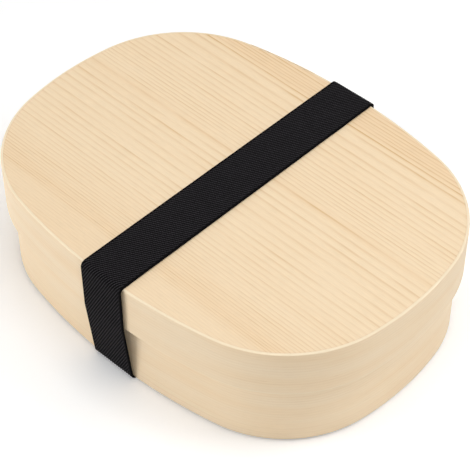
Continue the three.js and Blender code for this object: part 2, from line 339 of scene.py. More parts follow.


# Draws growth rings, which ring counts across the grain, over early wood that is partly warmer. Fibres,
# flecks and the edge colour follow, then bump and gloss. The edge colour is glue on the flat boards, and on
# the bent walls a paler rim, partly sanding and partly painted highlight, and a painted highlight along the
# lid's foot.
def growSpruce(add, shader, look, inMm, ring, warmShare, strength, tone=1):
    along = add("ShaderNodeSeparateXYZ", {}, [inMm]).outputs["X"]
    inRing = add("ShaderNodeMath", {"operation": "FRACT"}, [ring])
    ringNumber = add("ShaderNodeMath", {"operation": "FLOOR"}, [ring])
    late = add("ShaderNodeValToRGB", {}, {0: inRing}, look["ring"])
    # each ring is as strong as chance has it, and that comes and goes along it
    chance = add("ShaderNodeTexWhiteNoise", {"noise_dimensions": "1D"}, {"W": ringNumber})
    power = add("ShaderNodeMapRange", {}, {
        "Value": chance.outputs["Value"], **ranges((0, 1), look["ringPower"])})
    fadeAt = add("ShaderNodeCombineXYZ", {}, {"X": along, "Y": ringNumber})
    fade = add("ShaderNodeMapRange", {}, {
        "Value": streaks(add, fadeAt, look["fadeWaves"]), **ranges(look["fadeSpan"], look["fadePower"])})
    powered = add("ShaderNodeMath", times, [late, power])
    faded = add("ShaderNodeMath", times, [powered, fade])
    lateShare = add("ShaderNodeMath", clampedTimes, [faded, strength])

    fibre = streaks(add, inMm, look["fibreWaves"])
    # tone scales the wood's brightness; the bent walls use it as painted light, the tray's wall lighter than
    # the lid's
    fibreTone = add("ShaderNodeMapRange", {}, {
        "Value": fibre, **ranges(noiseSpan, [share * tone for share in look["fibreTone"]])})
    fleck = streaks(add, inMm, look["fleckWaves"])
    fleckShare = add("ShaderNodeMapRange", {}, {
        "Value": fleck, **ranges(look["fleckSpan"], (0, look["fleckShare"]))})
    edge = add("ShaderNodeAttribute", {"attribute_name": "edge"})
    edgeShare = add("ShaderNodeMath", times, [edge.outputs["Fac"], look["edgeShare"]])

    colour = linear(look["early"])
    for share, name in ((warmShare, "warm"), (lateShare, "late"), (fleckShare, "fleck"), (edgeShare, "edge")):
        if name == "fleck":
            colour = add("ShaderNodeVectorMath", {"operation": "SCALE"}, {0: colour, "Scale": fibreTone})
        mixed = add("ShaderNodeMix", colours, {0: share, 6: colour, 7: linear(look[name])})
        colour = mixed.outputs[2]
    height = add("ShaderNodeMath", timesPlus, [lateShare, look["lateRise"], fibre])
    setSurface(add, shader, look, colour, height, fibre)


def acrossStops(look, table, scale=1):
    return [((place + look["halfWidth"]) / (2 * look["halfWidth"]), value / scale) for place, value in table]


def boardMaterial(name, look, turn, offset, contrastShare):
    material, add, shader = newMaterial(name)
    where = add("ShaderNodeTexCoord")
    inMm = add("ShaderNodeMapping", {}, {
        "Vector": where.outputs["Object"], "Location": offset, "Rotation": turn,
        "Scale": (1 / mm, 1 / mm, 1 / mm)})
    split = add("ShaderNodeSeparateXYZ", {}, [inMm])
    place = split.outputs["Y"]
    for shift, amount in (
            (streaks(add, inMm, look["slowWaves"]), 2 * look["waviness"]),
            (streaks(add, inMm, look["rippleWaves"]), 2 * look["ripple"]),
            (split.outputs["Z"], look["lean"])):
        place = add("ShaderNodeMath", timesPlus, [shift, amount, place])
    middle = look["waviness"] + look["ripple"]
    across = add("ShaderNodeMapRange", {}, {
        "Value": place, "From Min": middle - look["halfWidth"], "From Max": middle + look["halfWidth"]})
    lineTotal = look["linesUpTo"][-1][1]
    lineShare, zone, warmZone = [
        add("ShaderNodeFloatCurve", {}, {"Value": across}, acrossStops(look, look[name], scale))
        for name, scale in (("linesUpTo", lineTotal), ("contrast", 1), ("warmth", 1))]
    ring = add("ShaderNodeMath", timesPlus, [lineShare, lineTotal, look["lineShift"]])
    strength = add("ShaderNodeMath", times, [zone, contrastShare])

    # early wood is warmer in some zones than in others
    warmth = add("ShaderNodeMath", {"operation": "MULTIPLY_ADD", "use_clamp": True}, [
        streaks(add, inMm, look["cloudWaves"]), look["cloudWarmth"], warmZone])
    warmShare = add("ShaderNodeMath", {"operation": "SUBTRACT", "use_clamp": True}, [
        warmth, look["cloudLoss"]])
    growSpruce(add, shader, look, inMm, ring, warmShare, strength)
    return material


def bandMaterial(name, look, seed, tone):
    material, add, shader = newMaterial(name)
    where = add("ShaderNodeUVMap", {"uv_map": "strip"})
    inMm = add("ShaderNodeMapping", {}, {
        "Vector": where, "Location": (seed, seed / 3, seed), "Scale": (1 / mm, 1 / mm, 1)})
    up = add("ShaderNodeSeparateXYZ", {}, [inMm]).outputs["Y"]
    place = add("ShaderNodeMath", timesPlus, [
        streaks(add, inMm, look["slowWaves"]), 2 * look["wander"], up])
    ring = add("ShaderNodeMath", over, [place, look["lineSpacing"]])
    cloud = streaks(add, inMm, look["cloudWaves"])
    warmShare = add("ShaderNodeMapRange", {}, {
        "Value": cloud, **ranges(look["cloudSpan"], (0, look["cloudWarmth"]))})
    growSpruce(add, shader, look, inMm, ring, warmShare, 2 * look["contrast"], tone)
    return material


# Cherry bark, peeled, scraped thin and polished by use: red-brown with a low gloss and darker cross lines
barkLook = {
    "tones": [(0.3, "#4b2114"), (0.5, "#7a3a22"), (0.72, "#9c5c37")],
    "lineLength": 4 * mm,
    "lineWidth": 0.5 * mm,
    "detail": 3,
    "bumpStrength": 0.4,
    "bumpHeight": 0.05 * mm,
    "roughness": (0.5, 0.3),
    "ior": 1.48,
    "specular": 0.5,
}


def barkMaterial():
    material, add, shader = newMaterial("cherryBarkScraped")
    where = add("ShaderNodeTexCoord")
    perMetre = (1 / barkLook["lineLength"], 1 / barkLook["lineLength"], 1 / barkLook["lineWidth"])
    cross = streaks(add, where.outputs["Object"], (perMetre, barkLook["detail"]))
    tone = add("ShaderNodeValToRGB", {}, {0: cross}, barkLook["tones"])
    setSurface(add, shader, barkLook, tone, cross, cross)
    return material


# Polyester and rubber elastic, woven as a twill: matt near-black ribs that slant across the tape, with
# black valleys between them and a smooth selvedge. The black of the valleys is painted shade, on the ribs'
# sides and the ground, and the lighter crest of each rib is a painted highlight.
elasticLook = {
    # rib: a painted highlight on each rib's crest; valley: painted shade on the ribs' sides and the ground
    # between them
    "rib": "#3e3c3f",
    "valley": "#060506",
    # the yarns that lie over each rib are 0.3 mm apart, drawn 0.75 mm apart so that they show
    "yarnPitch": 0.75,
    "yarnDegrees": 60,
    "yarnTone": (0.25, 0.75),
    "gritPerMm": 1.4,
    "gritDetail": 3,
    "gritTone": (0.7, 1.2),
    "crestSpan": (0.45, 0.95),
    "bumpStrength": 0.5,
    "bumpHeight": 0.06 * mm,
    # loose fibres scatter the gloss of the polyester, so little of it is left
    "roughness": 0.85,
    "ior": 1.55,
    "specular": 0.04,
}


def elasticMaterial():
    look = elasticLook
    material, add, shader = newMaterial("polyesterTwillElastic")
    run, across, crest = [
        add("ShaderNodeAttribute", {"attribute_name": name}).outputs["Fac"]
        for name in ("run", "across", "crest")]
    place = add("ShaderNodeCombineXYZ", {}, {"X": across, "Y": run})
    inMm = add("ShaderNodeVectorMath", {"operation": "SCALE"}, {0: place, "Scale": 1 / mm})
    split = add("ShaderNodeSeparateXYZ", {}, [inMm])
    turnPerMm = 2 * math.pi / look["yarnPitch"] / math.cos(math.radians(look["yarnDegrees"]))
    yarn = add("ShaderNodeMath", times, [split.outputs["X"], turnPerMm])
    yarnWave = add("ShaderNodeMath", {"operation": "SINE"}, [yarn])
    yarnTone = add("ShaderNodeMath", timesPlus, [
        yarnWave, look["yarnTone"][0], look["yarnTone"][1]])
    grit = add("ShaderNodeTexNoise", {}, {
        "Vector": inMm, "Scale": look["gritPerMm"], "Detail": look["gritDetail"]})
    gritTone = add("ShaderNodeMapRange", {}, {
        "Value": grit.outputs["Fac"], **ranges(noiseSpan, look["gritTone"])})
    # the painted highlight: lighter on each rib's crest, near-black painted shade on its sides and between
    # the ribs
    crestShare = add("ShaderNodeMapRange", {"interpolation_type": "SMOOTHSTEP"}, {
        "Value": crest, **ranges(look["crestSpan"], (0, 1))})
    lightShare = add("ShaderNodeMath", times, [crestShare, yarnTone])
    ribShare = add("ShaderNodeMath", times, [lightShare, gritTone])
    tone = add("ShaderNodeMix", colours, {
        0: ribShare, 6: linear(look["valley"]), 7: linear(look["rib"])})
    bump = add("ShaderNodeBump", {}, {
        "Strength": look["bumpStrength"], "Distance": look["bumpHeight"], "Height": yarnWave})
    setInputs(shader, {
        "Base Color": tone.outputs[2], "Normal": bump, "Roughness": look["roughness"], "IOR": look["ior"],
        "Specular IOR Level": look["specular"]})
    return material


# Spun polyester thread, dyed black: duller than the tape, with fine slanting plies. A wave texture shows
# about 10 waves for each unit of its scale.
threadLook = {
    "thread": "#17161a",
    "ply": "#2c2a30",
    "plyPitch": 0.35 * mm,
    "wavesPerScale": 10,
    "distortion": 1,
    "roughness": 0.75,
}


def threadMaterial():
    material, add, shader = newMaterial("polyesterSewingThread")
    where = add("ShaderNodeTexCoord")
    plies = add("ShaderNodeTexWave", {}, {
        "Vector": where.outputs["Object"], "Scale": 1 / threadLook["plyPitch"] / threadLook["wavesPerScale"],
        "Distortion": threadLook["distortion"]})
    tone = add("ShaderNodeMix", colours, {
        0: plies.outputs["Fac"], 6: linear(threadLook["thread"]), 7: linear(threadLook["ply"])})
    setInputs(shader, {"Base Color": tone.outputs[2], "Roughness": threadLook["roughness"]})
    return material


# how each board lies in the same wood: its turn, its place in mm and the strength of its lines
boardCuts = {
    "spruceBoardSanded": ((0, 0, math.radians(boardLook["slopeDegrees"])), (0, 0, -lidPlateHigh.z / mm), 1),
    "spruceBottomSanded": ((0, 0, math.radians(-1)), (40, 9, 25), 0.9),
    "spruceDividerSanded": ((0, math.pi / 2, math.pi / 2), (15, 3, 0), 0.9),
}
# where each bent board starts in the pattern, in mm, and how bright it is: the tray's wall is painted a
# little lighter than the lid's, as painted light from the floor below
bandCuts = {"spruceVeneerBentLid": (0, 0.985), "spruceVeneerBentTray": (57, 1.01)}
lidBoardMaterial, bottomBoardMaterial, dividerMaterial = [
    boardMaterial(name, boardLook, *cut) for name, cut in boardCuts.items()]
lidBandMaterial, trayBandMaterial = [bandMaterial(name, bandLook, *cut) for name, cut in bandCuts.items()]
bark = barkMaterial()
thread = threadMaterial()
print("materials ready")


# BENT BANDS

lap = {
    "tip": 0.45 * mm,
    "glueGap": 0.1 * mm,
    "rowToTip": 6 * mm,
    "laceWidth": 4 * mm,
    "laceThickness": 0.3 * mm,
    "laceGap": 0.05 * mm,
    "margin": 3.4 * mm,
    "bridge": 2.4 * mm,
    "tail": 2.6 * mm,
}


# the angle of a lacing row, which stands square on the back wall's side arc
def rowAngle(node):
    low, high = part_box(node)
    return math.atan2((low.y + high.y) / 2 - sideCentre.y, (low.x + high.x) / 2)


outerRow = rowAngle("tray_lace_outer_end")
innerRow = rowAngle("tray_lace_inner_end")
laceRows = (outerRow, innerRow)
lapEnd = outerRow + lap["rowToTip"] / oval["sideRadius"]
lapStart = innerRow - lap["rowToTip"] / oval["sideRadius"]


def slitHeights(low, high, stitches):
    stitch = (high - low - 2 * lap["margin"] - (stitches - 1) * lap["bridge"]) / stitches
    feet = [low + lap["margin"] + (stitch + lap["bridge"]) * i for i in range(stitches)]
    return [height for foot in feet for height in (foot, foot + stitch)]


bandEdge = {
    "outer": 0.3 * mm,
    "inner": 0.03 * mm,
    "steps": 4,
    "support": 0.25 * mm,
    # a rounding takes at most this much of a thin tip
    "roundShare": 0.48,
    "topRoundShare": 0.7,
    # how much of the rim's rounding is pale, partly from sanding and partly as a painted highlight, and how
    # much of the foot's rounding carries a painted highlight
    "rimShare": 0.5,
    "footShare": 1.01,
    # in half widths of a slit: no column of points stands closer to its middle, apart from its own two
    "slitClearShare": 1.15,
}
trayBand = {
    "inset": lidBandHigh.y - trayBandHigh.y,
    "wall": trayBandHigh.y - trayPlateHigh.y - lap["glueGap"],
    "low": trayBandLow.z,
    "high": trayBandHigh.z,
    "slits": slitHeights(trayPlateHigh.z, trayBandHigh.z, 3),
}
# The lid's wall is sanded round along its top, so that its rim shows only 1 mm wide. Its lower edge is sanded
# too, and the fine pale line along it above the tray is a painted highlight, for the light thrown up by the
# floor.
lidBand = {
    "inset": 0,
    "wall": 1.0 * mm,
    "topRound": 0.6 * mm,
    "paleFoot": bandEdge["outer"],
    "low": lidBandLow.z,
    "high": lidBandHigh.z,
    "slits": slitHeights(lidBandLow.z, trayBandHigh.z, 1),
}


# The strip from its inner tip to its outer one: at each angle, the depths of its two faces. Where the ends
# lap, a slanting glue line parts the two layers.
def stripColumns(wall, slitAngles):
    butt = lap["glueGap"] / oval["sideRadius"]
    halfGap = lap["glueGap"] / 2

    def glueDepth(angle):
        share = (angle - lapStart) / (lapEnd - lapStart)
        return wall - lap["tip"] + (2 * lap["tip"] - wall) * share

    inLap = [angle for angle in roundAngles + slitAngles if lapStart < angle < lapEnd]
    inLap = [lapStart] + sorted(inLap) + [lapEnd]
    full = [angle for angle in roundAngles if lapEnd + butt < angle]
    full += [angle + 2 * math.pi for angle in roundAngles if angle < lapStart - butt]
    columns = [(angle, glueDepth(angle) + halfGap, wall) for angle in inLap]
    columns.append((lapEnd + butt, lap["tip"] + halfGap, wall))
    columns += [(angle, 0, wall) for angle in [lapEnd + butt] + full + [lapStart - butt + 2 * math.pi]]
    columns.append((lapStart - butt + 2 * math.pi, 0, wall - lap["tip"] - halfGap))
    columns += [(angle + 2 * math.pi, 0, glueDepth(angle) - halfGap) for angle in inLap]
    return columns


# the closed outline of the strip's section at one column: depth into the wall, height, and the way round
def stripSection(outer, inner, band):
    thick = inner - outer
    outerRound = min(bandEdge["outer"], thick * bandEdge["roundShare"])
    topRound = min(band.get("topRound", bandEdge["outer"]), thick * bandEdge["topRoundShare"])
    innerRound = min(bandEdge["inner"], thick * bandEdge["roundShare"])
    low, high = band["low"], band["high"]
    slitHalf = lap["laceThickness"] / 2 + lap["laceGap"]
    lines = sorted(h + side * slitHalf for h in band["slits"] for side in (-1, 1))
    steps = bandEdge["steps"]
    support = bandEdge["support"]
    turn = [math.pi / 2 * i / steps for i in range(1, steps)]
    rows = [(outer, low + outerRound), (outer, low + outerRound + support)]
    rows += [(outer, z) for z in lines]
    rows += [(outer, high - topRound - support), (outer, high - topRound)]
    rows += [(outer + topRound * (1 - math.cos(a)), high - topRound * (1 - math.sin(a))) for a in turn]
    rows += [(outer + topRound, high), (inner - innerRound, high)]
    rows += [(inner - innerRound * (1 - math.sin(a)), high - innerRound * (1 - math.cos(a))) for a in turn]
    rows += [(inner, high - innerRound), (inner, high - innerRound - support)]
    rows += [(inner, z) for z in reversed(lines)]
    rows += [(inner, low + innerRound + support), (inner, low + innerRound)]
    rows += [(inner - innerRound * (1 - math.cos(a)), low + innerRound * (1 - math.sin(a))) for a in turn]
    rows += [(inner - innerRound, low), (outer + outerRound, low)]
    rows += [(outer + outerRound * (1 - math.sin(a)), low + outerRound * (1 - math.cos(a))) for a in turn]
    return rows


def makeBand(name, band, material):
    slitHalf = (lap["laceWidth"] / 2 + lap["laceGap"]) / oval["sideRadius"]
    slitAngles = [row + side * slitHalf for row in laceRows for side in (-1, 1)]
    nearSlit = slitHalf * bandEdge["slitClearShare"]
    inSlit = [angle for angle in roundAngles if any(abs(angle - row) < nearSlit for row in laceRows)]
    columns = stripColumns(band["wall"], slitAngles)
    columns = [column for column in columns if column[0] % (2 * math.pi) not in inSlit]
    rowCount = len(stripSection(0, band["wall"], band))
    slitCount = len(band["slits"])
    # the rows of the section where the slits' lines start on the outer face and on the inner one
    firstLine = 2
    innerFirst = firstLine + 2 * slitCount + 2 + (bandEdge["steps"] - 1) * 2 + 2 + 2
    form = bmesh.new()
    uv = form.loops.layers.uv.new("strip")
    # the rim is painted paler, partly for its sanding and partly as a painted highlight, and the lid's foot
    # gets a painted highlight
    pale = form.verts.layers.float.new("edge")
    rimFoot = band["high"] - band.get("topRound", bandEdge["outer"]) * bandEdge["rimShare"]
    paleTop = band["low"] + band.get("paleFoot", 0) * bandEdge["footShare"]
    grid = []
    for angle, outer, inner in columns:
        direction = Vector((math.cos(angle), math.sin(angle)))
        base = ovalPoint(angle, band["inset"])
        ring = []
        for depth, height in stripSection(outer, inner, band):
            flat = base - direction * depth
            vertex = form.verts.new((flat.x, flat.y, height))
            vertex[pale] = 1 if height > rimFoot or height < paleTop else 0
            ring.append(vertex)
        grid.append(ring)

    # the pattern runs along the strip and goes on round its edges
    def paint(face, places):
        for loop in face.loops:
            angle, row = places[loop.vert]
            loop[uv].uv = (ovalLength(angle), row)

    def sectionRun(column):
        rows = stripSection(column[1], column[2], band)
        run, runs = band["low"], []
        for i, (depth, height) in enumerate(rows):
            if i > 0:
                run += math.hypot(depth - rows[i - 1][0], height - rows[i - 1][1])
            runs.append(run)
        return runs, run + math.hypot(rows[0][0] - rows[-1][0], rows[0][1] - rows[-1][1])

    runs = [sectionRun(column) for column in columns]
    slitCells = set()
    for i, (column, following) in enumerate(zip(columns, columns[1:])):
        middle = (column[0] + following[0]) / 2 % (2 * math.pi)
        across = following[0] - column[0]
        wide = any(abs(middle - row) < slitHalf / 2 for row in laceRows) and across > slitHalf
        for j in range(rowCount):
            after = (j + 1) % rowCount
            outerCell = wide and firstLine <= j < firstLine + 2 * slitCount and (j - firstLine) % 2 == 0
            innerCell = wide and innerFirst <= j < innerFirst + 2 * slitCount and (j - innerFirst) % 2 == 0
            if outerCell:
                slitCells.add((i, j))
            if outerCell or innerCell:
                continue
            corners = [(i, j), (i + 1, j), (i + 1, after), (i, after)]
            vertices = [grid[a][b] for a, b in corners]
            face = form.faces.new(vertices)
            places = {}
            for (a, b), vertex in zip(corners, vertices):
                run = runs[a][1] if b == 0 and j == rowCount - 1 else runs[a][0][b]
                places[vertex] = (columns[a][0], run)
            paint(face, places)
    # the walls of each slit, from the outer face through to the inner one
    for i, j in slitCells:
        line = (j - firstLine) // 2
        back = innerFirst + 2 * slitCount - 2 - 2 * line
        outerLoop = [grid[i][j], grid[i + 1][j], grid[i + 1][j + 1], grid[i][j + 1]]
        innerLoop = [grid[i][back + 1], grid[i + 1][back + 1], grid[i + 1][back], grid[i][back]]
        for k in range(4):
            after = (k + 1) % 4
            face = form.faces.new([outerLoop[k], outerLoop[after], innerLoop[after], innerLoop[k]])
            for loop in face.loops:
                loop[uv].uv = (loop.vert.co.x, loop.vert.co.z)
    form.faces.new(list(reversed(grid[0])))
    form.faces.new(grid[-1])
    return finishForm(name, form, material)


lidRing = makeBand("bent_lid_wall", lidBand, lidBandMaterial)
place(lidRing, "lid", "bent_board", "lid_band")
trayRing = makeBand("bent_tray_wall", trayBand, trayBandMaterial)
place(trayRing, "tray", "bent_board", "tray_band")
print("bent walls ready")


# BOARDS

# the boards are pressed in, so that only a hairline shows round them
board = {"edge": 0.03 * mm, "steps": 2, "support": 0.4 * mm, "pressed": 0.09 * mm}


# A flat board whose edges are rounded. outlineAt gives its outline, moved in by a distance, and lay turns
# an outline point and a height into a place.
def makeBoard(name, outlineAt, low, high, edge, lay, material):
    turn = [math.pi / 2 * i / board["steps"] for i in range(board["steps"] + 1)]
    levels = [(edge * (1 - math.sin(a)), low + edge * (1 - math.cos(a))) for a in turn]
    levels += [(edge * (1 - math.cos(a)), high - edge * (1 - math.sin(a))) for a in turn]
    levels = [(edge + board["support"], low)] + levels + [(edge + board["support"], high)]
    form = bmesh.new()
    glued = form.verts.layers.float.new("edge")
    rings = []
    for inset, height in levels:
        ring = []
        for point in outlineAt(inset):
            vertex = form.verts.new(lay(point, height))
            vertex[glued] = 1 if inset <= edge else 0
            ring.append(vertex)
        rings.append(ring)
    for lower, upper in zip(rings, rings[1:]):
        for i in range(len(lower)):
            after = (i + 1) % len(lower)
            form.faces.new([lower[i], lower[after], upper[after], upper[i]])
    form.faces.new(list(reversed(rings[0])))
    form.faces.new(rings[-1])
    return finishForm(name, form, material)


def plateOutline(band):
    inset = band["inset"] + band["wall"] + lap["glueGap"] - board["pressed"]
    return lambda extra: [ovalPoint(angle, inset + extra) for angle in roundAngles]


def flat(point, height):
    return (point.x, point.y, height)


lidBoard = makeBoard(
    "lid_board", plateOutline(lidBand), lidPlateLow.z, lidPlateHigh.z, board["edge"], flat, lidBoardMaterial)
place(lidBoard, "lid", "lid_board", "lid_plate")
bottomBoard = makeBoard(
    "bottom_board", plateOutline(trayBand), trayPlateLow.z, trayPlateHigh.z, board["edge"], flat,
    bottomBoardMaterial)
place(bottomBoard, "tray", "inner_board", "tray_bottom")

dividerLook = {"topRadius": 5 * mm, "footRadius": 1 * mm, "edge": 0.5 * mm, "steps": 10}


def dividerOutline(inset):
    corners = [
        (dividerHigh.y, dividerLow.z, dividerLook["footRadius"], -90),
        (dividerHigh.y, dividerHigh.z, dividerLook["topRadius"], 0),
        (dividerLow.y, dividerHigh.z, dividerLook["topRadius"], 90),
        (dividerLow.y, dividerLow.z, dividerLook["footRadius"], 180),
    ]
    middleHeight = (dividerLow.z + dividerHigh.z) / 2
    points = []
    for y, z, radius, start in corners:
        middle = Vector((y - math.copysign(radius, y), z - math.copysign(radius, z - middleHeight)))
        for i in range(dividerLook["steps"] + 1):
            angle = math.radians(start + 90 * i / dividerLook["steps"])
            points.append(middle + Vector((math.cos(angle), math.sin(angle))) * (radius - inset))
    return points


def standing(point, height):
    return (height, point.x, point.y)


dividerBoard = makeBoard(
    "divider_board", dividerOutline, dividerLow.x, dividerHigh.x, dividerLook["edge"], standing,
    dividerMaterial)
# no glue on the divider
for value in dividerBoard.data.attributes["edge"].data:
    value.value = 0
place(dividerBoard, "divider", "inner_board", "divider")
print("boards ready")


# every tree takes a geometry, the named sockets of each kind, and a material
def groupTree(name, sockets):
    tree = bpy.data.node_groups.new(name, "GeometryNodeTree")
    for kind, labels in {"Geometry": ["Geometry"], **sockets, "Material": ["Material"]}.items():
        for label in labels:
            tree.interface.new_socket(label, in_out="INPUT", socket_type="NodeSocket" + kind)
    tree.interface.new_socket("Geometry", in_out="OUTPUT", socket_type="NodeSocketGeometry")
    add = nodeAdder(tree)
    return add, add("NodeGroupInput"), add("NodeGroupOutput")


# makes instances real, sets the material and gives the finished tree
def endTree(add, start, end, geometry):
    realized = add("GeometryNodeRealizeInstances", {}, [geometry])
    dressed = add("GeometryNodeSetMaterial", {}, {0: realized, "Material": start.outputs["Material"]})
    setInputs(end, [dressed])
    return end.id_data


# runs a tree on an object and leaves the result as a plain smooth mesh
def growMesh(piece, tree, values):
    modifier = piece.modifiers.new("grow", "NODES")
    modifier.node_group = tree
    for item in tree.interface.items_tree:
        if item.item_type == "SOCKET" and item.in_out == "INPUT" and item.name in values:
            modifier[item.identifier] = values[item.name]
    bpy.context.view_layer.update()
    grown = bpy.data.meshes.new_from_object(piece.evaluated_get(bpy.context.evaluated_depsgraph_get()))
    piece.modifiers.remove(modifier)
    old = piece.data
    piece.data = grown
    bpy.data.meshes.remove(old)
    grown.name = piece.name
    smooth(grown)
    return piece


def lineObject(name, points):
    mesh = bpy.data.meshes.new(name)
    mesh.from_pydata([tuple(p) for p in points], [(i, i + 1) for i in range(len(points) - 1)], [])
    return addObject(name, mesh)


# BARK LACING

laceLook = {
    "bendRadius": 0.32 * mm,
    "bendSteps": 4,
    "edgeRadius": 0.12 * mm,
    "edgeSteps": 2,
    "bow": 0.05 * mm,
}


# a flat strip swept along a line, with its width held to one direction and its bends rounded
def stripTree():
    add, start, end = groupTree("flatStrip", {
        "Float": ["Width", "Thickness", "Bend Radius", "Edge Radius"], "Vector": ["Across"]})
    curve = add("GeometryNodeMeshToCurve", {}, [start.outputs["Geometry"]])
    bent = add("GeometryNodeFilletCurve", {"mode": "POLY"}, {
        "Curve": curve, "Count": laceLook["bendSteps"], "Radius": start.outputs["Bend Radius"],
        "Limit Radius": True})
    held = add("GeometryNodeSetCurveNormal", {"mode": "FREE"}, {
        "Curve": bent, "Normal": start.outputs["Across"]})
    section = add("GeometryNodeCurvePrimitiveQuadrilateral", {}, {
        "Width": start.outputs["Width"], "Height": start.outputs["Thickness"]})
    rounded = add("GeometryNodeFilletCurve", {"mode": "POLY"}, {
        "Curve": section, "Count": laceLook["edgeSteps"], "Radius": start.outputs["Edge Radius"]})
    swept = add("GeometryNodeCurveToMesh", {}, {
        "Curve": held, "Profile Curve": rounded, "Fill Caps": True})
    return endTree(add, start, end, swept)


laceTree = stripTree()


def makeLace(name, band, angle, node, body):
    direction = Vector((math.cos(angle), math.sin(angle)))
    outside = lap["laceGap"] + lap["laceThickness"] / 2
    inside = -band["wall"] - outside
    slits = band["slits"]
    profile = [(inside, slits[0] - lap["tail"])]
    for i, height in enumerate(slits):
        near, far = (inside, outside) if i % 2 == 0 else (outside, inside)
        profile += [(near, height), (far, height)]
        if i % 2 == 0:
            profile.append((outside + laceLook["bow"], (height + slits[i + 1]) / 2))
    profile.append((inside, slits[-1] + lap["tail"]))
    base = ovalPoint(angle, band["inset"])
    points = [(*(base + direction * reach), height) for reach, height in profile]
    piece = growMesh(lineObject(name, points), laceTree, {
        "Width": lap["laceWidth"], "Thickness": lap["laceThickness"], "Bend Radius": laceLook["bendRadius"],
        "Edge Radius": laceLook["edgeRadius"], "Across": (-direction.y, direction.x, 0), "Material": bark})
    piece.data.set_sharp_from_angle(angle=math.radians(shading["sharpDegrees"]))
    place(piece, body, "bark", node)


makeLace("tray_bark_outer_end", trayBand, outerRow, "tray_lace_outer_end", "tray")
makeLace("tray_bark_inner_end", trayBand, innerRow, "tray_lace_inner_end", "tray")
makeLace("lid_bark_outer_end", lidBand, rowAngle("lid_lace_outer_end"), "lid_lace_outer_end", "lid")
makeLace("lid_bark_inner_end", lidBand, rowAngle("lid_lace_inner_end"), "lid_lace_inner_end", "lid")
print("lacing ready")


# ELASTIC STRAP

# The tape stands off the near side by what its stiffness keeps it from bending, and hugs the far side.
tape = {
    # the tape is drawn wider than its ribbed face, so that its dark edge also covers part of the shadow
    # beside it, a little painted shadow
    "width": 19.5 * mm,
    "middle": 1.8 * mm,
    "skew": 0.0068,
    "thickness": 0.95 * mm,
    "groundShare": 0.5,
    "selvedge": 1.2 * mm,
    # the share of the selvedge that is its cord
    "cordShare": 0.6,
    # 1 would make the section round, and 0 square
    "roundPower": 0.32,
    "sectionPoints": 32,
    "ribPitchAlong": 1.887 * mm,
    "ribDegrees": 28.7,
    "ribWidth": 0.56 * mm,
    "ribHeight": 0.9 * mm,
    "ribPoints": 8,
    "bendSteps": 9,
    "nearStandOff": 0.4 * mm,
    "farStandOff": 0.12 * mm,
    # what is left of the near stand-off at the lid's lower edge and at the tray's foot
    "edgeShare": 0.7,
    "footShare": 0.3,
    "topLift": 0.1 * mm,
    "footOut": 0.5 * mm,
    "footBends": {"near": 2.3 * mm, "far": 1.9 * mm},
    "topBends": {"near": 2 * mm, "far": 1.2 * mm},
    "stepBend": 15 * mm,
    "rampBend": 4 * mm,
    "lap": 26 * mm,
    "lapGap": 0.1 * mm,
    "ramp": 5 * mm,
    "rampEnd": 0.5 * mm,
}
elastic = elasticMaterial()


# the tape's middle line, as y, z and the radius of the bend there
def strapCourse():
    bottom = tape["thickness"] / 2
    upper = bottom + tape["thickness"] + tape["lapGap"]
    top = strapTop - bottom + tape["topLift"]
    lapHalf = tape["lap"] / 2
    lidSide = lidBandHigh.y + tape["thickness"] / 2
    traySide = trayBandHigh.y + tape["thickness"] / 2
    lidEdge = lidBandLow.z
    near, far = tape["nearStandOff"], tape["farStandOff"]
    return [
        (-lapHalf, bottom, 0),
        (traySide + far + tape["footOut"], bottom, tape["footBends"]["far"]),
        (lidSide + far, lidEdge, tape["stepBend"]),
        (lidSide + far, top, tape["topBends"]["far"]),
        (-lidSide - near, top, tape["topBends"]["near"]),
        (-lidSide - near * tape["edgeShare"], lidEdge, tape["stepBend"]),
        (-traySide - near * tape["footShare"], bottom, tape["footBends"]["near"]),
        (-lapHalf - tape["ramp"], bottom, tape["rampBend"]),
        (-lapHalf - tape["rampEnd"], upper, tape["rampBend"]),
        (lapHalf, upper, 0),
    ]


